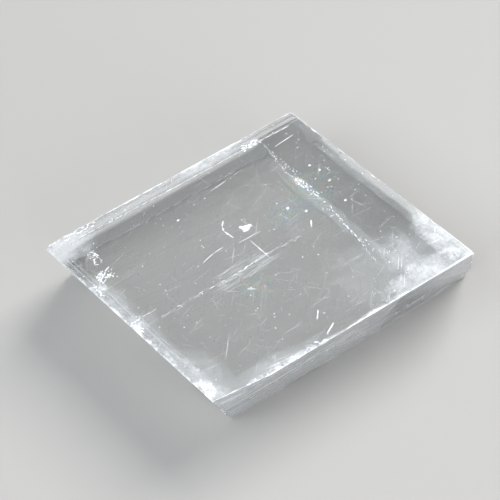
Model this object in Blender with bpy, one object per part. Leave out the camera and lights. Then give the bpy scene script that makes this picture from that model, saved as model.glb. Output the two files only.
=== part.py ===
# A cleaved block of iceland spar: one solid, clear calcite crystal.
#
# Every flat face is a cleavage face, so the block is a sheared box whose three edge
# directions all meet at calcite's cleavage angle at the two blunt corners. Positions
# are given along those edges: u along the long edge, v along the short edge, w up the
# rising edge, all in metres from the blunt corner at the lower front left.
# The frame: metres, +Z up, the long edge along +X, the origin under the middle.

import math
import random

import bpy
import bmesh
from mathutils import Matrix, Vector

# Driving dimensions
mm = 0.001
cleavage_angle = math.radians(101.92)   # plane angle at the blunt corners of calcite
long_edge = 50.0 * mm
short_edge = 42.7 * mm
rising_edge = 19.4 * mm
clear_of_face = 1.0 * mm                # how far a cutter stands outside the block
flake_seed = 24

# Cleavage steps, each a block split off along the crystal's own planes:
# (name, lowest u, v, w, highest u, v, w), in millimetres.
past = 51.0                             # a step that runs out over the end of a face
steps = [
    ("underside ledge along the back", -1, 38.8, -1, 41.2, 44, 1.2),
    ("foot of the back face", -1, 42.1, -1, past, 44, 6.4),
    ("upper strip of the back face", 22, 42.48, 12.5, past, 44, 15.0),
    ("lower right of the front face", 40.6, -1, -1, past, 0.26, 6.6),
    ("lower middle of the front face", 33.5, -1, -1, 41.0, 0.17, 8.3),
    ("thin strip of the front face", -1, -1, 9.4, 27.5, 0.09, 11.2),
    ("foot of the left face", -1, 9.5, -1, 0.34, 44, 5.2),
    ("middle of the left face", -1, 27.0, 4.6, 0.18, 44, 9.8),
    ("foot of the right face", 49.55, -1, -1, past, 31.0, 3.9),
    ("thin strip of the right face", 49.84, 12.0, 8.6, past, 44, 11.4),
    ("underside ledge along the right", 47.6, 9.0, -1, past, 36.0, 0.45),
]

# Broken places along the edges: (edge, place along it, length, bite), in millimetres.
chips = [
    ("top front", 15.2, 2.6, 0.55),
    ("top front", 20.3, 2.2, 0.70),
    ("top front", 12.0, 2.0, 0.45),
    ("top front", 41.5, 1.8, 0.30),
    ("top left", 30.2, 2.6, 0.85),
    ("top left", 26.6, 1.5, 0.60),
    ("top left", 20.2, 3.0, 0.42),
    ("top left", 15.5, 2.2, 0.40),
    ("top left", 11.4, 3.0, 0.45),
    ("top left", 4.6, 4.0, 0.62),
    ("top left", 37.2, 1.6, 0.30),
    ("top back", 5.2, 3.4, 0.50),
    ("top back", 9.3, 4.4, 0.38),
    ("top back", 38.9, 2.2, 0.32),
    ("top back", 41.2, 2.8, 0.36),
    ("top back", 24.0, 2.0, 0.30),
    ("top right", 37.0, 2.0, 0.34),
    ("top right", 22.5, 2.4, 0.30),
    ("top right", 9.0, 1.8, 0.32),
    ("bottom front", 13.2, 3.4, 1.20),
    ("bottom front", 16.4, 3.0, 1.35),
    ("bottom front", 28.5, 2.2, 0.40),
    ("bottom front", 37.6, 1.8, 0.45),
    ("bottom front", 4.8, 2.8, 0.42),
    ("bottom left", 8.0, 3.2, 0.70),
    ("bottom left", 22.0, 2.4, 0.50),
    ("bottom left", 33.0, 3.6, 0.80),
    ("bottom back", 11.0, 3.4, 0.60),
    ("bottom back", 29.0, 2.6, 0.75),
    ("bottom back", 44.5, 3.0, 0.70),
    ("bottom right", 6.0, 2.4, 0.55),
    ("bottom right", 19.0, 3.2, 0.60),
    ("bottom right", 33.5, 2.8, 0.80),
    ("front left", 9.0, 2.0, 0.28),
    ("front right", 5.0, 2.6, 0.45),
    ("front right", 13.0, 2.0, 0.28),
    ("back left", 6.0, 2.6, 0.55),
    ("back left", 15.0, 2.0, 0.40),
    ("back right", 7.5, 2.4, 0.50),
    ("top back", 2.2, 4.8, 0.66),
    ("back left", 19.0, 3.6, 1.05),     # the sharp left corner is broken off
]
# A flake that cuts an edge: how far it reaches into the block and stands out of it,
# as shares of its radius, and how thick it is across the edge.
flake_sunk = 0.62
flake_out = 0.38
flake_thick = 1.1
flake_roughness = (0.78, 1.16)          # how far its points lie from an even ball

# The eight corners are worn by a small flake each: a share of a millimetre.
corner_bite = 0.55 * mm
corner_spread = (1.1, 1.7)
corner_thick = 1.2
corner_out = 0.35

# The long facet broken off the front top edge, widest at the left corner and
# running out along the edge.
facet_length = 10.4 * mm
facet_on_top = 1.25 * mm
facet_on_side = 3.3 * mm


def crystal_axes():
    """The three edge directions, each at the cleavage angle to the other two."""
    cos_angle = math.cos(cleavage_angle)
    sin_angle = math.sin(cleavage_angle)
    along = Vector((1.0, 0.0, 0.0))
    across = Vector((cos_angle, sin_angle, 0.0))
    lean_y = (cos_angle - cos_angle ** 2) / sin_angle
    rise = Vector((cos_angle, lean_y, math.sqrt(1.0 - cos_angle ** 2 - lean_y ** 2)))
    return Matrix((along, across, rise)).transposed()


lattice = crystal_axes()


def place(u, v, w):
    """The point in space of a position along the crystal's edges."""
    return lattice @ Vector((u, v, w))


def add_lattice_box(shape, low, high):
    """A sheared box whose six faces all lie along the cleavage planes."""
    size = high - low
    corners = bmesh.ops.create_cube(shape, size=1.0)["verts"]
    fit = lattice.to_4x4() @ Matrix.Translation((low + high) / 2.0)
    fit = fit @ Matrix.Diagonal((size.x, size.y, size.z, 1.0))
    bmesh.ops.transform(shape, matrix=fit, verts=corners)


def add_flake(shape, chance, centre, half_sizes, turn):
    """A rough faceted lump, long along the first of its half sizes."""
    points = bmesh.ops.create_icosphere(shape, subdivisions=1, radius=1.0)["verts"]
    for point in points:
        point.co *= chance.uniform(*flake_roughness)
    spin = Matrix.Rotation(chance.uniform(0.0, math.tau), 4, "X")
    fit = Matrix.Translation(centre) @ turn.to_4x4()
    fit = fit @ Matrix.Diagonal((*half_sizes, 1.0)) @ spin
    bmesh.ops.transform(shape, matrix=fit, verts=points)


def edge_table():
    """Each edge of the block: its start, its direction and the way out of the block."""
    starts = {
        "top front": ((0, 0, 1), 0),
        "top back": ((0, 1, 1), 0),
        "bottom front": ((0, 0, 0), 0),
        "bottom back": ((0, 1, 0), 0),
        "top left": ((0, 0, 1), 1),
        "top right": ((1, 0, 1), 1),
        "bottom left": ((0, 0, 0), 1),
        "bottom right": ((1, 0, 0), 1),
        "front left": ((0, 0, 0), 2),
        "front right": ((1, 0, 0), 2),
        "back left": ((0, 1, 0), 2),
        "back right": ((1, 1, 0), 2),
    }
    sizes = (long_edge, short_edge, rising_edge)
    normals = []
    for axis in range(3):
        normal = lattice.col[(axis + 1) % 3].cross(lattice.col[(axis + 2) % 3])
        normals.append(normal.normalized())
    table = {}
    for name, (ends, axis) in starts.items():
        start = place(*(end * size for end, size in zip(ends, sizes)))
        outward = Vector((0.0, 0.0, 0.0))
        for other in range(3):
            if other != axis:
                outward += normals[other] * (1.0 if ends[other] else -1.0)
        table[name] = (start, lattice.col[axis].copy(), outward.normalized())
    return table


def make_step_cutters():
    shape = bmesh.new()
    for _name, *limits in steps:
        low = Vector(limits[:3]) * mm
        high = Vector(limits[3:]) * mm
        add_lattice_box(shape, low, high)
    return cutter_object("step cutters", shape)


def make_facet_cutter():
    """The wedge above the broken facet, as the hull of its five corners."""
    shape = bmesh.new()
    out = clear_of_face
    corners = [
        place(-out, facet_on_top, rising_edge),
        place(-out, 0.0, rising_edge - facet_on_side),
        place(-out, -facet_on_top - out, rising_edge + out),
        place(facet_length, 0.0, rising_edge),
        place(facet_length, -out, rising_edge + out),
    ]
    points = [shape.verts.new(corner) for corner in corners]
    bmesh.ops.convex_hull(shape, input=points)
    bmesh.ops.recalc_face_normals(shape, faces=shape.faces)
    return cutter_object("facet cutter", shape)


def make_chip_cutters():
    """Flakes set half in the edges, and one at every corner."""
    chance = random.Random(flake_seed)
    shape = bmesh.new()
    table = edge_table()
    for edge, along, length, bite in chips:
        start, direction, outward = table[edge]
        across = direction.cross(outward)
        turn = Matrix((direction, outward, across)).transposed()
        radius = bite * mm / flake_sunk
        centre = start + direction * (along * mm) + outward * (radius * flake_out)
        half_sizes = (length * mm / 2.0, radius, radius * flake_thick)
        add_flake(shape, chance, centre, half_sizes, turn)
    middle = place(long_edge / 2.0, short_edge / 2.0, rising_edge / 2.0)
    for u in (0.0, long_edge):
        for v in (0.0, short_edge):
            for w in (0.0, rising_edge):
                corner = place(u, v, w)
                outward = (corner - middle).normalized()
                radius = corner_bite * chance.uniform(*corner_spread)
                turn = Vector((1.0, 0.0, 0.0)).rotation_difference(outward).to_matrix()
                half_sizes = (radius, radius * corner_thick, radius)
                centre = corner + outward * radius * corner_out
                add_flake(shape, chance, centre, half_sizes, turn)
    return cutter_object("chip cutters", shape)


def cutter_object(name, shape):
    mesh = bpy.data.meshes.new(name)
    shape.to_mesh(mesh)
    shape.free()
    cutter = bpy.data.objects.new(name, mesh)
    cutter.hide_render = True
    cutter.display_type = "WIRE"
    bpy.context.scene.collection.objects.link(cutter)
    return cutter


def make_block():
    shape = bmesh.new()
    low = Vector((0.0, 0.0, 0.0))
    high = Vector((long_edge, short_edge, rising_edge))
    add_lattice_box(shape, low, high)
    mesh = bpy.data.meshes.new("spar_rhomb")
    shape.to_mesh(mesh)
    shape.free()
    block = bpy.data.objects.new("spar_rhomb", mesh)
    bpy.context.scene.collection.objects.link(block)
    return block


def cut(block, cutter):
    knife = block.modifiers.new(cutter.name, "BOOLEAN")
    knife.operation = "DIFFERENCE"
    knife.solver = "EXACT"
    knife.use_self = True
    knife.object = cutter


def clear_calcite():
    """Colourless, see-through calcite with a glassy polish."""
    material = bpy.data.materials.new("clear calcite")
    material.use_nodes = True
    shader = material.node_tree.nodes["Principled BSDF"]
    shader.inputs["Base Color"].default_value = (0.93, 0.94, 0.93, 1.0)
    shader.inputs["Roughness"].default_value = 0.04
    shader.inputs["Metallic"].default_value = 0.0
    shader.inputs["IOR"].default_value = 1.6
    shader.inputs["Transmission Weight"].default_value = 1.0
    return material


def stand_over_origin(block, cutters):
    """Moves the finished block so that the origin lies under the middle of its box."""
    bpy.context.view_layer.update()
    finished = block.evaluated_get(bpy.context.evaluated_depsgraph_get())
    corners = [Vector(corner) for corner in finished.bound_box]
    middle_x = (min(c.x for c in corners) + max(c.x for c in corners)) / 2.0
    middle_y = (min(c.y for c in corners) + max(c.y for c in corners)) / 2.0
    for thing in (block, *cutters):
        thing.location = Vector((-middle_x, -middle_y, 0.0))


def main():
    for old in list(bpy.data.objects):
        bpy.data.objects.remove(old)
    block = make_block()
    cutters = (make_step_cutters(), make_facet_cutter(), make_chip_cutters())
    for cutter in cutters:
        cut(block, cutter)
    stand_over_origin(block, cutters)
    block.data.materials.append(clear_calcite())


main()
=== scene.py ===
import math
import random

import bmesh
import bpy
from mathutils import Matrix, Vector


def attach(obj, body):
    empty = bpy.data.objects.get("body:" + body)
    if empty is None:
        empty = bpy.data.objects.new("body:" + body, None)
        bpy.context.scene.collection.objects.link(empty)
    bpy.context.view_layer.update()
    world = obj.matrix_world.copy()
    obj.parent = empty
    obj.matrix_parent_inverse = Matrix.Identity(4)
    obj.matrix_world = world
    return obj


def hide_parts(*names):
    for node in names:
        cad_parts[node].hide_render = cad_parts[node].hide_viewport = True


# A cleaved block of iceland spar on a pale floor. Places on the crystal are given in
# millimetres along its three edges: u along the long one, v along the short one and
# w up the rising one, from the blunt corner at the lower front left. The rising faces are
# C at the front where v is 0, D at the left where u is 0, A at the back and B at the right.

mm = 0.001
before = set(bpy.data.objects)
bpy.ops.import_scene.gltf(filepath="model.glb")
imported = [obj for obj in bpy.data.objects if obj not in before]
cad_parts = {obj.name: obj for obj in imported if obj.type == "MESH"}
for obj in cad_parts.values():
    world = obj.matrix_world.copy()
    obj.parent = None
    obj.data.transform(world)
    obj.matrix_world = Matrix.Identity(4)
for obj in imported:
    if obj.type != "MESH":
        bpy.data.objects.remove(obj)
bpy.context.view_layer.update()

crystal = {
    "cleavageAngle": math.radians(101.92),
    "longEdge": 50.0,
    "shortEdge": 42.7,
    "risingEdge": 19.4,
}


def edgeDirections():
    # the three edges of the block all meet at the cleavage angle
    cosine, sine = math.cos(crystal["cleavageAngle"]), math.sin(crystal["cleavageAngle"])
    lean = (cosine - cosine ** 2) / sine
    along = Vector((1, 0, 0))
    across = Vector((cosine, sine, 0))
    rise = Vector((cosine, lean, math.sqrt(1 - cosine ** 2 - lean ** 2)))
    return Matrix((along, across, rise)).transposed()


edges = edgeDirections()
fromEdges = edges.inverted()
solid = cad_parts["spar_rhomb"]
sheared = [fromEdges @ vertex.co for vertex in solid.data.vertices]
corner = edges @ Vector([min(point[axis] for point in sheared) for axis in range(3)])
sizes = (crystal["longEdge"], crystal["shortEdge"], crystal["risingEdge"])
cleavageNormals = [
    edges.col[(axis + 1) % 3].cross(edges.col[(axis + 2) % 3]).normalized() for axis in range(3)]


def at(u, v, w=crystal["risingEdge"]):
    # a place on the crystal, in metres
    return corner + edges @ Vector((u, v, w)) * mm


class Wire:
    # one output socket, and the sums that can be written with it
    def __init__(self, graph, socket):
        self.graph = graph
        self.socket = socket

    def sum(self, operation, *others):
        return self.graph.node("ShaderNodeMath", {"operation": operation}, dict(enumerate(others)))

    def __add__(self, other):
        return self.sum("ADD", self, other)

    def __radd__(self, other):
        return self.sum("ADD", other, self)

    def __sub__(self, other):
        return self.sum("SUBTRACT", self, other)

    def __rsub__(self, other):
        return self.sum("SUBTRACT", other, self)

    def __mul__(self, other):
        return self.sum("MULTIPLY", self, other)

    def __rmul__(self, other):
        return self.sum("MULTIPLY", other, self)

    def __pow__(self, other):
        return self.sum("POWER", self, other)

    def least(self, other):
        return self.sum("MINIMUM", self, other)

    def most(self, other):
        return self.sum("MAXIMUM", self, other)

    def rise(self, low, high):
        # 0 below low, 1 above high and smooth between
        settings = {"interpolation_type": "SMOOTHSTEP"}
        values = {"Value": self, "From Min": low, "From Max": high}
        return self.graph.node("ShaderNodeMapRange", settings, values)

    def fall(self, low, high):
        return 1 - self.rise(low, high)


class Graph:
    def __init__(self, tree):
        self.tree = tree
        self.tree.nodes.clear()

    def node(self, kind, settings=None, values=None, output=0):
        made = self.tree.nodes.new(kind)
        for name, setting in (settings or {}).items():
            if name == "stops":
                self.setStops(made.color_ramp, setting)
            else:
                setattr(made, name, setting)
        for name, value in (values or {}).items():
            if isinstance(value, Wire):
                self.tree.links.new(value.socket, made.inputs[name])
            else:
                made.inputs[name].default_value = value
        return Wire(self, made.outputs[output])

    def setStops(self, ramp, stops):
        while len(ramp.elements) < len(stops):
            ramp.elements.new(1.0)
        for element, (position, colour) in zip(ramp.elements, stops):
            element.position = position
            element.color = colour

    def place(self, scale=(1, 1, 1), turn=0.0):
        # Object coordinates, turned about the upright and stretched
        seat = self.node("ShaderNodeTexCoord", output="Object")
        turned = self.node("ShaderNodeMapping", None, {"Vector": seat, "Rotation": (0, 0, turn)})
        return self.node("ShaderNodeVectorMath", {"operation": "MULTIPLY"}, {0: turned, 1: scale})

    def onCrystal(self):
        # how far along each edge of the block, in millimetres
        seat = self.node("ShaderNodeTexCoord", output="Object")
        found = []
        for row, start in zip(fromEdges, fromEdges @ corner):
            settings = {"operation": "DOT_PRODUCT"}
            dot = self.node("ShaderNodeVectorMath", settings, {0: seat, 1: row / mm}, "Value")
            found.append(dot - start / mm)
        return found

    def noise(self, where, scale, detail=3.0, rough=0.55, warp=0.0):
        values = {"Vector": where, "Scale": scale, "Detail": detail, "Roughness": rough,
                  "Distortion": warp}
        return self.node("ShaderNodeTexNoise", None, values)

    def hairlines(self, turn, long, thin, low, high):
        # fine scratches that run one way, so long and so thin in millimetres
        stretch = (1 / (long * mm), 1 / (thin * mm), 60)
        return self.noise(self.place(stretch, turn), 1.0, 1.0, 0.5).rise(low, high)

    def mix(self, share, first, second):
        settings = {"data_type": "RGBA", "clamp_factor": True}
        return self.node("ShaderNodeMix", settings, {0: share, 6: first, 7: second}, 2)

    def bump(self, height, strength, distance):
        values = {"Height": height, "Strength": strength, "Distance": distance}
        return self.node("ShaderNodeBump", None, values)

    def principled(self, values):
        return self.node("ShaderNodeBsdfPrincipled", None, values)

    def finish(self, surface, volume=None):
        output = self.tree.nodes.new("ShaderNodeOutputMaterial")
        self.tree.links.new(surface.socket, output.inputs["Surface"])
        if volume is not None:
            self.tree.links.new(volume.socket, output.inputs["Volume"])


def newMaterial(name):
    material = bpy.data.materials.new(name)
    material.use_nodes = True
    return material, Graph(material.node_tree)


def newPiece(name, shape, materials):
    mesh = bpy.data.meshes.new(name)
    shape.to_mesh(mesh)
    shape.free()
    piece = bpy.data.objects.new(name, mesh)
    bpy.context.scene.collection.objects.link(piece)
    for material in materials:
        mesh.materials.append(material)
    return piece


def joinCrystal(piece):
    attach(piece, "root")


clearLook = {
    "ior": 1.6,
    "tint": (0.99, 0.99, 0.985, 1),
    "absorbColour": (0.93, 0.935, 0.92, 1),
    "absorbDensity": 9.0,
    "frost": (0.885, 0.93, 0.963, 1),    # where the crystal is crushed or cloudy
    "frostRoughness": 0.45,
    "polish": 0.012,             # roughness where the cleavage is fresh
    "scuffed": 0.20,             # what a scuff adds to it
    "dustWear": 0.5,             # a speck of dust beside a scuff
    "scuffs": [                  # heading, length and width in millimetres, and two thresholds
        (0.1, 14, 0.19, 0.67, 0.77),
        (-0.9, 9, 0.20, 0.68, 0.78),
    ],
    "patchNoise": (110, 2.0, 0.62),      # scale per metre, detail and roughness
    "raggedNoise": (420, 4.0, 0.75),
    "grainNoise": (2300, 2.0, 0.65),
    "swellNoise": (70, 1.0, 0.5),
    "lineStretch": (14, 14, 2600),       # level lines on the rising faces
    "lineNoise": (1.0, 2.0, 0.65),
    "bandStretch": (16, 16, 480),        # and broader bands
    "bandNoise": (1.0, 2.0, 0.6),
    "swellHeight": 0.8,
    "lineHeight": 0.8,
    "bandHeight": 0.9,
    "relief": (0.30, 0.00012),   # strength and distance of the bump
    "skin": (0.02, 0.06),        # how near a face a place still belongs to it, in millimetres
    "leftSkin": (0.3, 0.9),
    "scuffWhite": 0.5,           # how white each mark makes the surface
    "lineWhite": 0.32,
    "bandWhite": 0.24,
    "filmWhite": 0.10,
    "baseVeil": 0.05,            # white veil all over the top
    "sideVeil": 0.09,            # and on the rising faces
    "leftVeil": 0.16,            # the left face is bruised
    "freshLeft": (31.0, 37.0),   # but clearer beyond this v
    "rainbowShare": 0.7,         # how strongly the thin films in the fractures colour the light
    "films": [(40.4, 26.6, 6.5, 6.0), (19.6, 15.4, 3.6, 3.4), (33.5, 24.5, 4.0, 3.0)],
    "crumbleFade": (0.38, 0.66),
    "edgeCrumble": [             # which two faces meet, how far the white reaches, how strong
        ("D", "top", 1.4, 0.62), ("C", "top", 0.65, 0.8), ("B", "top", 0.4, 0.55),
        ("A", "top", 0.5, 0.8), ("A", "bottom", 1.1, 1.0), ("C", "bottom", 0.5, 0.9),
        ("B", "bottom", 0.4, 0.6), ("D", "bottom", 0.5, 0.65), ("C", "D", 0.5, 0.5),
        ("B", "C", 0.4, 0.45),
    ],
    "clouds": [                  # centre u and v, half sizes, strength, on the top face
        (0.6, 30.0, 2.2, 1.7, 0.75), (0.4, 20.2, 2.2, 2.0, 0.8), (0.7, 3.7, 2.2, 2.6, 0.95),
        (0.2, 13.4, 1.3, 4.2, 0.5), (39.9, 40.8, 2.3, 0.9, 0.9), (33.0, 42.4, 9.0, 2.2, 0.30),
        (40.2, 27.6, 1.1, 3.4, 0.30), (22.0, 19.4, 5.5, 1.9, 0.12), (2.5, 20.0, 3.0, 1.8, 0.3),
        (12.0, 0.2, 8.0, 1.4, 0.5), (30.0, 0.1, 12.0, 0.8, 0.35),
    ],
    "mists": [                   # the same, for smoother whitish veils; the one below 0 thins them
        (2.0, 40.6, 7.0, 4.0, 0.40), (48.8, 5.5, 3.4, 8.5, 0.42), (41.5, 1.2, 10.0, 3.6, 0.36),
        (9.0, 0.6, 15.0, 3.0, 0.20), (0.8, 14.0, 2.8, 16.0, 0.18), (39.4, 22.0, 1.6, 16.0, 0.12),
        (50.0, 24.0, 3.2, 24.0, 0.16), (24.0, 42.2, 26.0, 2.4, 0.14), (38.0, 6.0, 13.0, 8.0, 0.10),
        (43.6, 5.0, 6.5, 7.0, 0.22), (45.4, 4.6, 2.6, 7.0, -0.16), (2.0, 6.0, 5.0, 7.0, 0.18),
        (1.0, 27.0, 3.0, 7.0, 0.20),
    ],
    "wispiness": 1.5,            # how ragged the mists are
}

# the colours that a film of air turns through as it thickens
filmColours = [
    (0.36, (0.76, 0.52, 1.00, 1)), (0.44, (0.48, 0.78, 1.00, 1)), (0.50, (0.50, 1.00, 0.88, 1)),
    (0.56, (0.96, 1.00, 0.58, 1)), (0.62, (1.00, 0.72, 0.58, 1)), (0.70, (1.00, 0.56, 0.92, 1)),
]


def fromCentre(u, v, oval):
    # 0 at the middle of an oval on the top face and 1 on its rim
    centreU, centreV, halfU, halfV = oval
    return ((u - centreU) * (1 / halfU)) ** 2 + ((v - centreV) * (1 / halfV)) ** 2


def crushedEdges(gap, ragged, patches, fresh):
    # crushed white along the edges, ragged where it fades
    crumble = None
    for first, second, reach, strength in clearLook["edgeCrumble"]:
        near = (gap[first] + gap[second]).least(reach * 2) * (1 / reach)
        edge = ragged * 1.2 + patches * 0.35 - near * 0.8
        edge = edge.rise(*clearLook["crumbleFade"]) * strength
        if first == "D":
            edge = edge * fresh
        crumble = edge if crumble is None else crumble.most(edge)
    return crumble


def cloudsUnderTop(u, v, ragged, patches, grain):
    # clouds of tiny fractures just under the top face, then fainter mists about them
    cloud = None
    for *oval, strength in clearLook["clouds"]:
        puff = fromCentre(u, v, oval).fall(0.05, 1.0) * strength
        cloud = puff if cloud is None else cloud.most(puff)
    cloud = cloud * (0.1 + 1.1 * ragged.rise(0.40, 0.66))
    powder = 0.75 + 0.25 * patches + 0.16 * grain.rise(0.40, 0.62)
    wisps = (ragged - 0.5) * clearLook["wispiness"]
    for *oval, strength in clearLook["mists"]:
        cloud = cloud + (fromCentre(u, v, oval) + wisps).fall(0.0, 1.0) * powder * strength
    return cloud


def airFilms(u, v, grain):
    # thin films of air in the fractures give faint rainbow colours
    film = None
    for oval in clearLook["films"]:
        patch = fromCentre(u, v, oval).fall(0.1, 1.0)
        film = patch if film is None else film.most(patch)
    return film * (0.15 + 0.85 * grain.rise(0.44, 0.62)) * clearLook["rainbowShare"]


def clearCalcite():
    look = clearLook
    material, graph = newMaterial("clearCalcite")
    u, v, w = graph.onCrystal()
    gap = {"D": u, "C": v, "B": sizes[0] - u, "A": sizes[1] - v, "bottom": w, "top": sizes[2] - w}
    side = gap["top"].rise(*look["skin"]) * w.rise(*look["skin"])
    onTop = gap["top"].fall(*look["skin"])
    onLeft = gap["D"].fall(*look["leftSkin"]) * side
    fresh = 0.3 + 0.7 * v.fall(*look["freshLeft"])       # less is crushed at the left corner

    patches = graph.noise(graph.place(), *look["patchNoise"]).rise(0.40, 0.66)
    ragged = graph.noise(graph.place(), *look["raggedNoise"])
    grain = graph.noise(graph.place(), *look["grainNoise"])
    swell = graph.noise(graph.place(), *look["swellNoise"])

    # scuffs from handling, gathered in patches
    lengthwise, crosswise = [graph.hairlines(*facts) for facts in look["scuffs"]]
    dust = grain.rise(0.60, 0.72) * patches
    wear = (lengthwise + crosswise) * (0.15 + 0.85 * patches) + dust * look["dustWear"]

    # growth and cleavage layers show as level lines and bands on the rising faces
    layers = graph.noise(graph.place(look["lineStretch"]), *look["lineNoise"])
    layers = layers * side * (1 - 0.7 * onLeft)
    bands = graph.noise(graph.place(look["bandStretch"]), *look["bandNoise"])
    bands = bands.rise(0.50, 0.62) * side * (1 - onLeft)
    levels = layers.rise(0.56, 0.70) * look["lineWhite"] + bands * look["bandWhite"]

    crumble = crushedEdges(gap, ragged, patches, fresh)
    cloud = cloudsUnderTop(u, v, ragged, patches, grain) * onTop
    film = airFilms(u, v, grain) * onTop
    bruised = onLeft * ragged.rise(0.36, 0.62) * fresh * look["leftVeil"]
    veil = onTop * look["baseVeil"] + (side * look["sideVeil"] + bruised) * (0.6 + patches)
    marks = wear * look["scuffWhite"] + film * look["filmWhite"]
    frosted = (marks + crumble + cloud + levels + veil).least(1.0)

    rainbow = graph.node("ShaderNodeValToRGB", {"stops": filmColours}, {"Fac": ragged})
    height = swell * look["swellHeight"] + layers * look["lineHeight"] + bands * look["bandHeight"]
    relief = graph.bump(height, *look["relief"])
    glass = graph.principled({
        "Base Color": graph.mix(film, look["tint"], rainbow),
        "Roughness": wear * look["scuffed"] + look["polish"],
        "IOR": look["ior"], "Transmission Weight": 1.0, "Normal": relief})
    frost = graph.principled({
        "Base Color": graph.mix(film, look["frost"], rainbow),
        "Roughness": look["frostRoughness"], "Normal": relief})
    surface = graph.node("ShaderNodeMixShader", None, {0: frosted, 1: glass, 2: frost})
    volume = graph.node("ShaderNodeVolumeAbsorption", None, {
        "Color": look["absorbColour"], "Density": look["absorbDensity"]})
    graph.finish(surface, volume)
    return material


bruiseLook = {
    "white": (0.98, 0.99, 1.0, 1),
    "grey": (0.78, 0.82, 0.86, 1),
    "grainNoise": (1500, 4.0, 0.7),
    "reliefNoise": (3200, 3.0, 0.65),
    "relief": (0.8, 0.0001),
    "whiteRoughness": 0.3,
    "clearRoughness": 0.25,
}


def bruisedCalcite():
    # the crushed, silvery white of a chipped or scratched place
    look = bruiseLook
    material, graph = newMaterial("bruisedCalcite")
    grain = graph.noise(graph.place(), *look["grainNoise"])
    relief = graph.bump(graph.noise(graph.place(), *look["reliefNoise"]), *look["relief"])
    colour = graph.mix(grain.rise(0.35, 0.62), look["grey"], look["white"])
    white = graph.principled({
        "Base Color": colour, "Roughness": look["whiteRoughness"], "Normal": relief})
    rough = graph.principled({
        "Base Color": look["white"], "Roughness": look["clearRoughness"],
        "IOR": clearLook["ior"], "Transmission Weight": 1.0, "Normal": relief})
    share = grain.rise(0.22, 0.46)
    graph.finish(graph.node("ShaderNodeMixShader", None, {0: share, 1: rough, 2: white}))
    return material


veilLook = {
    "white": (0.95, 0.97, 1, 1),
    "roughness": 0.3,
    "share": 0.52,               # how much the white hides
    "coarseNoise": (900, 5.0, 0.68),
    "fineNoise": (3600, 3.0, 0.7),
    "open": (0.42, 0.62),        # thresholds between clear and white
}


def crackVeil():
    # a fracture inside the crystal: white where it opens and clear between
    look = veilLook
    material, graph = newMaterial("crackVeil")
    coarse = graph.noise(graph.place(), *look["coarseNoise"])
    fine = graph.noise(graph.place(), *look["fineNoise"])
    spots = (coarse * 0.7 + fine * 0.3).rise(*look["open"])
    graph.finish(graph.principled({
        "Base Color": look["white"], "Roughness": look["roughness"],
        "Alpha": spots * look["share"]}))
    return material


print("finishes")
calcite = clearCalcite()
bruise = bruisedCalcite()
crackWhite = crackVeil()

blockWear = {
    "seed": 5,
    "weld": 1e-6,
    "cleavageMatch": 0.9995,             # how closely a face follows a cleavage plane
    "glassyBreak": 3.0 * mm ** 2,        # a broken face larger than this is smooth too
    "nibblesPerEdge": {"top": 30, "bottom": 16, "upright": 7},
    "nibbleLength": (0.4, 1.9),
    "nibbleBite": (0.04, 0.20),
    "nibbleSunk": 0.6,                   # how much of a cutter's radius is inside the edge
    "unevenness": (0.8, 1.15),           # of a cutter's points
    # larger nibbles on the front top edge: place and half length, then depth and distance out
    "frontNibbles": [(10.2, 0.9), (16.2, 1.1), (20.3, 1.4), (7.8, 0.9), (25.4, 0.8), (13.0, 0.7)],
    "frontDepth": 0.35,
    "frontStandoff": 0.1,
}


def skewed(chance, limits, power=2):
    # a size between two limits, more often near the first
    low, high = limits
    return low + (high - low) * chance.random() ** power


def addNick(shape, chance, centre, direction, out, halfSizes):
    # one lens-shaped cutter: half length, half depth and half width in millimetres
    points = bmesh.ops.create_icosphere(shape, subdivisions=1, radius=1)["verts"]
    spin = Matrix.Rotation(chance.uniform(0, math.tau), 4, "X")
    bmesh.ops.transform(shape, matrix=spin, verts=points)
    for point in points:
        point.co *= chance.uniform(*blockWear["unevenness"])
    direction = direction.normalized()
    turn = Matrix((direction, out, direction.cross(out))).transposed().to_4x4()
    fit = Matrix.Diagonal((*(Vector(halfSizes) * mm), 1))
    bmesh.ops.transform(shape, matrix=Matrix.Translation(centre) @ turn @ fit, verts=points)


def edgeTable():
    # every edge: start, direction, length, the way out of the block, and its kind
    table = []
    for axis in range(3):
        first, second = [other for other in range(3) if other != axis]
        for firstEnd in (0, 1):
            for secondEnd in (0, 1):
                ends = [0, 0, 0]
                ends[first], ends[second] = firstEnd, secondEnd
                out = cleavageNormals[first] * (2 * firstEnd - 1)
                out += cleavageNormals[second] * (2 * secondEnd - 1)
                kind = "upright" if axis == 2 else ("top" if ends[2] else "bottom")
                start = at(*(end * size for end, size in zip(ends, sizes)))
                table.append((start, edges.col[axis].copy(), sizes[axis], out.normalized(), kind))
    return table


def addNibbles(shape):
    look = blockWear
    chance = random.Random(look["seed"])
    for start, direction, length, out, kind in edgeTable():
        for _ in range(look["nibblesPerEdge"][kind]):
            distance = chance.uniform(0.01, 0.99) * length
            reach = chance.uniform(*look["nibbleLength"]) / 2
            radius = skewed(chance, look["nibbleBite"]) / look["nibbleSunk"]
            standoff = out * radius * (1 - look["nibbleSunk"])
            centre = start + (direction * distance + standoff) * mm
            addNick(shape, chance, centre, direction, out, (reach, radius, radius))
    frontOut = (cleavageNormals[2] - cleavageNormals[1]).normalized()
    for u, size in look["frontNibbles"]:
        centre = at(u, 0) + frontOut * look["frontStandoff"] * mm
        halfSizes = (size, look["frontDepth"], 0.5 * size)
        addNick(shape, chance, centre, edges.col[0].copy(), frontOut, halfSizes)


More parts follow.
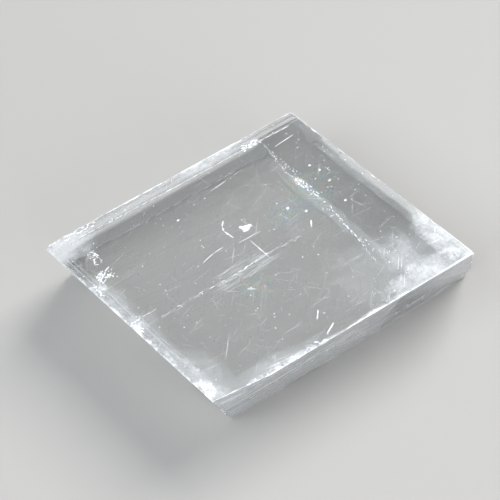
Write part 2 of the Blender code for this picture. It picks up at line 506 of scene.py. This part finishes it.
# scratches and chips on the top face, and a painted highlight beside the back edge: a route of u and v,
# then the width in millimetres
topMarks = {
    "seed": 21,
    "depth": 0.35,              # of a mark, as a share of its width
    "shortest": 0.6,            # its half length is at least this share of its width
    "overshoot": 1.12,          # and a little more than the route asks
    "measured": [
        ([(26.0, 26.4), (28.1, 26.1)], 1.0), ([(26.1, 27.1), (26.9, 26.1)], 0.75),
        ([(25.9, 25.8), (27.4, 25.7)], 0.5),
        ([(25.2, 29.7), (24.2, 28.7), (23.8, 27.8), (24.0, 25.6)], 0.30),
        ([(25.6, 23.5), (25.5, 18.7)], 0.16), ([(23.6, 24.3), (28.3, 24.2)], 0.12),
        ([(16.7, 24.3), (19.6, 25.0), (21.6, 25.1)], 0.16), ([(35.9, 21.3), (34.8, 19.9)], 0.34),
        ([(24.0, 5.8), (22.4, 4.2)], 0.34), ([(24.0, 2.3), (21.4, 1.0)], 0.30),
        ([(28.0, 36.2), (31.6, 36.6)], 0.16), ([(33.2, 36.8), (34.8, 37.0)], 0.12),
        ([(5.1, 36.9), (5.5, 35.7)], 0.30), ([(4.6, 35.8), (3.7, 34.3)], 0.28),
        ([(2.3, 31.2), (3.6, 31.8), (4.2, 32.4), (5.4, 32.9)], 0.28),
        ([(2.3, 30.4), (3.4, 31.0), (4.9, 31.6)], 0.20), ([(19.6, 34.1), (20.1, 34.3)], 0.46),
        ([(36.3, 23.1), (36.8, 23.3)], 0.46), ([(34.5, 25.4), (35.0, 25.6)], 0.50),
        ([(18.5, 15.8), (19.7, 14.8)], 0.2), ([(42.1, 37.8), (46.8, 38.2)], 0.18),
        ([(43.6, 30.8), (44.1, 31.0)], 0.46), ([(42.6, 21.1), (43.1, 21.3)], 0.42),
        ([(43.7, 26.1), (44.2, 26.3)], 0.46), ([(44.2, 28.9), (44.6, 29.2)], 0.42),
        ([(49.2, 7.8), (48.4, 7.0), (48.4, 4.9)], 0.14),
    ],
    "crack": {                 # where the fracture across reaches the face
        "route": [(41.7, 39.6), (41.1, 37.3), (40.1, 32.5), (39.8, 28.5), (40.1, 25.9), (39.95, 21.5),
                  (39.2, 17.2), (38.4, 12.3), (37.3, 7.9)],
        "width": (0.04, 0.30), "pitch": 0.55, "sway": 0.17,
    },
    "seam": {                  # the broken line along the middle
        "route": [(4.7, 19.3), (10.0, 19.5), (16.2, 19.3), (20.8, 19.4), (25.1, 19.8), (32.1, 19.5)],
        "width": (0.05, 0.17), "pitch": 1.1, "sway": 0.13,
    },
    "leftSeam": {
        "route": [(0.6, 21.0), (2.4, 21.1), (5.3, 21.0)],
        "width": (0.08, 0.18), "pitch": 0.9, "sway": 0.06,
    },
    "backHighlightLine": {              # white marks on the top face beside the back edge, a painted highlight where the foot of the back face shines through
        "route": [(3.5, 40.9), (14.0, 40.7), (24.0, 40.5), (36.0, 40.5), (47.5, 40.3)],
        "width": (0.10, 0.24), "pitch": 1.7, "sway": 0.03,
    },
    # centre, half sizes, heading in degrees and its spread, count, lengths, widths
    "fields": [
        ((20.5, 19.3), (5.0, 1.7), 2, 5, 34, (1.0, 6.5), (0.02, 0.05)),      # hairs about the seam
        ((27, 24), (4, 4), 48, 6, 6, (1.5, 5.0), (0.02, 0.05)),
        ((15, 12), (12, 9), 8, 8, 9, (1.0, 6.0), (0.02, 0.05)),
        ((20, 11), (7, 7), -52, 12, 12, (1.0, 4.0), (0.02, 0.05)),
        ((34, 12), (11, 10), 6, 8, 7, (1.0, 5.0), (0.02, 0.05)),
        ((36, 28), (9, 9), 100, 9, 7, (1.0, 4.0), (0.02, 0.05)),
        ((14, 32), (11, 8), 12, 9, 8, (1.0, 6.0), (0.02, 0.05)),
        ((24, 20), (22, 19), 8, 14, 46, (1.0, 5.0), (0.02, 0.04)),           # and all over the face
        ((24, 22), (22, 19), -55, 30, 50, (0.6, 3.0), (0.02, 0.04)),
        ((22, 12), (12, 9), 60, 40, 30, (0.6, 2.5), (0.02, 0.045)),
        ((4.7, 35.6), (0.7, 1.5), 100, 60, 22, (0.2, 0.7), (0.08, 0.26)),    # chips at the left corner
        ((3.8, 31.6), (1.6, 1.1), 40, 60, 40, (0.2, 0.7), (0.08, 0.28)),
        ((40.2, 27.6), (0.6, 2.8), 95, 40, 26, (0.2, 0.9), (0.10, 0.34)),    # and along the fracture
        ((40.9, 34.0), (0.5, 4.0), 95, 40, 16, (0.2, 0.7), (0.06, 0.20)),
        ((39.0, 16.0), (0.5, 6.0), 95, 40, 18, (0.1, 0.6), (0.05, 0.18)),
        ((44.0, 26.0), (3.0, 6.0), 95, 60, 16, (0.1, 0.4), (0.08, 0.26)),
        ((39.8, 40.7), (1.7, 0.6), 2, 30, 24, (0.3, 1.0), (0.12, 0.40)),     # rough places on the edges
        ((6.2, 42.1), (3.2, 0.5), 2, 30, 18, (0.3, 1.0), (0.10, 0.34)),
        ((13.0, 0.5), (9.0, 0.4), 2, 30, 24, (0.2, 0.9), (0.10, 0.34)),
        ((0.6, 29.8), (0.6, 1.5), 100, 40, 12, (0.2, 0.8), (0.10, 0.34)),
        ((0.6, 20.2), (0.6, 1.6), 100, 40, 12, (0.2, 0.8), (0.10, 0.34)),
        ((0.7, 3.8), (0.7, 2.0), 100, 40, 14, (0.2, 0.8), (0.10, 0.34)),
    ],
    "specks": 480,
    "speckMargin": 0.8,         # clear of the edges
    "speckSize": (0.06, 0.25),
}


def placesAlong(route, pitch):
    # places on a route of straight stretches, about a pitch apart
    found = []
    for (u0, v0), (u1, v1) in zip(route, route[1:]):
        count = max(1, round(math.hypot(u1 - u0, v1 - v0) / pitch))
        for step in range(count):
            found.append((u0 + (u1 - u0) * step / count, v0 + (v1 - v0) * step / count))
    return found + [route[-1]]


def addStroke(shape, chance, start, end, width, out=Vector((0, 0, 1)), share=topMarks["depth"]):
    first, last = at(*start), at(*end)
    half = max((last - first).length / mm / 2, width * topMarks["shortest"])
    halfSizes = (half * topMarks["overshoot"], width * share, width / 2)
    addNick(shape, chance, (first + last) / 2, last - first, out, halfSizes)


# broken white lines where an edge is crushed: two ends, the range of widths and the share
# of the line that is there
crushedLines = {
    "seed": 33,
    "pitch": 1.3,
    "overlap": 0.3,
    "depth": 0.5,
    "lines": [
        ((2.0, 42.1, 1.2), (41.0, 42.1, 1.2), (0.24, 0.44), 1.0),       # foot of the back face
        ((1.0, 38.8, 0.0), (41.0, 38.8, 0.0), (0.08, 0.20), 0.6),       # the ledge under the back
        ((41.0, 42.6, 0.0), (49.5, 42.6, 0.0), (0.10, 0.30), 0.7),
        ((49.9, 1.0, 0.0), (49.9, 42.0, 0.0), (0.06, 0.20), 0.5),       # lower right edge
        ((16.2, 0.0, 12.9), (18.6, 0.0, 13.6), (0.24, 0.34), 1.0),      # a bright scratch on the front
        ((36.0, 0.0, 8.6), (46.0, 0.0, 6.4), (0.10, 0.26), 0.7),
        ((11.0, 0.0, 0.0), (19.0, 0.0, 0.0), (0.20, 0.60), 0.9),        # nibbled foot of the front
        ((20.0, 0.0, 0.0), (49.0, 0.0, 0.0), (0.06, 0.22), 0.5),
        ((0.3, 1.2, 19.4), (9.6, 0.1, 19.4), (0.08, 0.26), 0.8),        # round the facet at the front
        ((0.2, 0.0, 16.2), (9.0, 0.0, 19.0), (0.05, 0.18), 0.6),
        ((13.0, 0.0, 14.8), (49.0, 0.0, 14.4), (0.04, 0.12), 0.7),      # layers that open on the front
        ((22.0, 0.0, 7.6), (35.5, 0.0, 7.2), (0.05, 0.14), 0.7),
    ],
}


def addCrushedLines(shape):
    look = crushedLines
    chance = random.Random(look["seed"])
    middle = at(*(size / 2 for size in sizes))
    for start, end, widths, share in look["lines"]:
        start, end = Vector(start), Vector(end)
        count = round((end - start).length / look["pitch"])
        out = at(*((start + end) / 2)) - middle
        way = (at(*end) - at(*start)).normalized()
        out = (out - way * out.dot(way)).normalized()
        for step in range(count):
            if chance.random() > share:
                continue
            width = chance.uniform(*widths)
            first = start.lerp(end, (step - look["overlap"] * chance.random()) / count)
            last = start.lerp(end, (step + 1 + look["overlap"] * chance.random()) / count)
            addStroke(shape, chance, first, last, width, out, look["depth"])


def addTopMarks(shape):
    look = topMarks
    chance = random.Random(look["seed"])
    for route, width in look["measured"]:
        for start, end in zip(route, route[1:]):
            addStroke(shape, chance, start, end, width)
    # the last of these routes paints a highlight: white marks on the top face where a facet at the foot
    # of the back face shines through
    for facts in (look["crack"], look["seam"], look["leftSeam"], look["backHighlightLine"]):
        places = placesAlong(facts["route"], facts["pitch"])
        for (u0, v0), (u1, v1) in zip(places, places[1:]):
            sway = chance.gauss(0, facts["sway"])
            turn = chance.gauss(0, facts["sway"])
            start, end = (u0 + sway, v0 + sway), (u1 + turn, v1 + turn)
            addStroke(shape, chance, start, end, skewed(chance, facts["width"]))
    for (u, v), (halfU, halfV), heading, spread, count, lengths, widths in look["fields"]:
        for _ in range(count):
            middle = Vector((u + halfU * chance.uniform(-1, 1), v + halfV * chance.uniform(-1, 1)))
            angle = math.radians(heading + chance.gauss(0, spread))
            half = chance.uniform(*lengths) / 2
            reach = Vector((math.cos(angle), math.sin(angle))) * half
            addStroke(shape, chance, middle - reach, middle + reach, chance.uniform(*widths))
    margin = look["speckMargin"]
    for _ in range(look["specks"]):
        u, v = [chance.uniform(margin, length - margin) for length in sizes[:2]]
        size = skewed(chance, look["speckSize"], 3)
        addStroke(shape, chance, (u, v), (u + size * chance.uniform(-1, 1), v + size), size)


def onCleavage(normal):
    return any(abs(plane.dot(normal)) > blockWear["cleavageMatch"] for plane in cleavageNormals)


def makeBlock():
    shape = bmesh.new()
    shape.from_mesh(solid.data)
    bmesh.ops.remove_doubles(shape, verts=shape.verts, dist=blockWear["weld"])
    for face in shape.faces:
        face.smooth = False
        glassy = onCleavage(face.normal) or face.calc_area() > blockWear["glassyBreak"]
        face.material_index = 0 if glassy else 1
    block = newPiece("sparBlock", shape, [calcite, bruise])
    joinCrystal(block)
    shape = bmesh.new()
    addNibbles(shape)
    addTopMarks(shape)
    addCrushedLines(shape)
    knife = newPiece("nicks", shape, [bruise])
    cut = block.modifiers.new("nicks", "BOOLEAN")
    cut.operation = "DIFFERENCE"
    cut.solver = "EXACT"
    cut.use_self = True
    cut.material_mode = "TRANSFER"
    cut.object = knife
    bpy.context.view_layer.update()
    evaluated = block.evaluated_get(bpy.context.evaluated_depsgraph_get())
    finished = bpy.data.meshes.new_from_object(evaluated)
    block.modifiers.clear()
    block.data = finished
    bpy.data.objects.remove(knife)
    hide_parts("spar_rhomb")
    return block


print("block")
sparBlock = makeBlock()
print("block faces", len(sparBlock.data.polygons), [m.name for m in sparBlock.data.materials])

innerCracks = {
    "top": 0.12,                # how far under the top face they start
    "open": 0.03,               # how thick a veil is
    "pitch": 0.5,
    "shortest": 0.4,            # the least share of the depth that a place reaches
    "cuts": 2,
    "cracks": {                 # route, depth, lean along u and v, sway and seed
        "crackAcross": (topMarks["crack"]["route"], 1.5, (-0.5, 0), 0.12, 11),
        "crackAlong": (topMarks["seam"]["route"], 1.6, (0, -0.5), 0.10, 12),
        "crackLeft": (topMarks["leftSeam"]["route"], 1.2, (0, -0.4), 0.05, 13),
    },
}


def inOrder(points):
    # the operators return points in any order, which would shuffle the random draws
    return sorted(points, key=lambda point: tuple(point.co))


def makeCrack(name, route, depth, lean, sway, seed):
    # a ragged sheet that hangs from just under the top face along the rising edge
    look = innerCracks
    chance = random.Random(seed)
    shape = bmesh.new()
    places = placesAlong(route, look["pitch"])
    points = [shape.verts.new(at(u, v, sizes[2] - look["top"])) for u, v in places]
    line = [shape.edges.new(pair) for pair in zip(points, points[1:])]
    deep = edges @ Vector((*lean, -depth)) * mm
    grown = bmesh.ops.extrude_edge_only(shape, edges=line)["geom"]
    lower = [item for item in grown if isinstance(item, bmesh.types.BMVert)]
    for point in inOrder(lower):
        point.co += deep * (look["shortest"] + (1 - look["shortest"]) * chance.random())
    bmesh.ops.subdivide_edges(shape, edges=shape.edges[:], cuts=look["cuts"], use_grid_fill=True)
    for point in inOrder(shape.verts):
        point.co += (edges.col[0] + edges.col[1]) * chance.gauss(0, sway) * mm * 0.5
    bmesh.ops.solidify(shape, geom=shape.faces[:], thickness=look["open"] * mm)
    bmesh.ops.recalc_face_normals(shape, faces=shape.faces[:])
    joinCrystal(newPiece(name, shape, [crackWhite]))


print("cracks")
for crackName, crackFacts in innerCracks["cracks"].items():
    makeCrack(crackName, *crackFacts)

stageLook = {
    "floorColour": (0.46, 0.455, 0.44, 1),
    "floorSize": 1.6,
    "floorDrop": 0.0001,
    "floorRoughness": 0.8,
    "floorNoise": (900, 3.0, 0.6),
    "floorRelief": (0.05, 0.0001),
    "lamps": {                 # place, size, energy and colour
        "key": ((0.54, 0.08, 0.70), 0.5, 6.6, (1, 0.98, 0.95)),
        "fill": ((-0.48, -0.10, 0.66), 0.5, 3.2, (0.93, 0.96, 1)),
        "front": ((0.10, -0.78, 0.34), 0.6, 2.6, (1, 0.97, 0.94)),
    },
    "skyTop": (0.86, 0.91, 1.0, 1),
    "skyLow": (0.16, 0.16, 0.17, 1),
    "skyStrength": 0.50,
}
cameraView = {
    "eye": (-41.12, -95.04, 217.96),      # millimetres from the blunt corner
    "target": (20.90, 26.81, 0.0),
    "roll": math.radians(-6.404),
    "lens": 101.57,
    "sensor": 36.0,
    "clip": (0.005, 20),
}


def makeStage():
    look = stageLook
    shape = bmesh.new()
    bmesh.ops.create_grid(shape, x_segments=1, y_segments=1, size=look["floorSize"])
    material, graph = newMaterial("paleFloor")
    grain = graph.noise(graph.place(), *look["floorNoise"])
    graph.finish(graph.principled({
        "Base Color": look["floorColour"], "Roughness": look["floorRoughness"],
        "Normal": graph.bump(grain, *look["floorRelief"])}))
    floor = newPiece("floor", shape, [material])
    floor.location = (0, 0, -look["floorDrop"])


def softLight(name, place, size, energy, colour):
    light = bpy.data.lights.new(name, "AREA")
    light.shape = "SQUARE"
    light.size = size
    light.energy = energy
    light.color = colour
    lamp = bpy.data.objects.new(name, light)
    lamp.location = place
    lamp.rotation_euler = (-Vector(place)).to_track_quat("-Z", "Y").to_euler()
    bpy.context.scene.collection.objects.link(lamp)


def makeSky():
    look = stageLook
    world = bpy.data.worlds.new("softSky")
    bpy.context.scene.world = world
    bpy.context.scene.view_settings.view_transform = "Standard"
    world.use_nodes = True
    graph = Graph(world.node_tree)
    seat = graph.node("ShaderNodeTexCoord", output="Generated")
    height = graph.node("ShaderNodeSeparateXYZ", None, {0: seat}, "Z").rise(-0.1, 0.9)
    colour = graph.mix(height, look["skyLow"], look["skyTop"])
    values = {"Color": colour, "Strength": look["skyStrength"]}
    background = graph.node("ShaderNodeBackground", None, values)
    output = world.node_tree.nodes.new("ShaderNodeOutputWorld")
    world.node_tree.links.new(background.socket, output.inputs["Surface"])


def makeCamera():
    look = cameraView
    eye = corner + Vector(look["eye"]) * mm
    target = corner + Vector(look["target"]) * mm
    facing = (target - eye).to_track_quat("-Z", "Y").to_matrix().to_4x4()
    lens = bpy.data.cameras.new("camera")
    lens.lens = look["lens"]
    lens.sensor_width = look["sensor"]
    lens.clip_start, lens.clip_end = look["clip"]
    camera = bpy.data.objects.new("camera", lens)
    camera.matrix_world = Matrix.Translation(eye) @ facing @ Matrix.Rotation(look["roll"], 4, "Z")
    bpy.context.scene.collection.objects.link(camera)
    bpy.context.scene.camera = camera


print("stage")
makeStage()
for lampName, facts in stageLook["lamps"].items():
    softLight(lampName, *facts)
makeSky()
makeCamera()
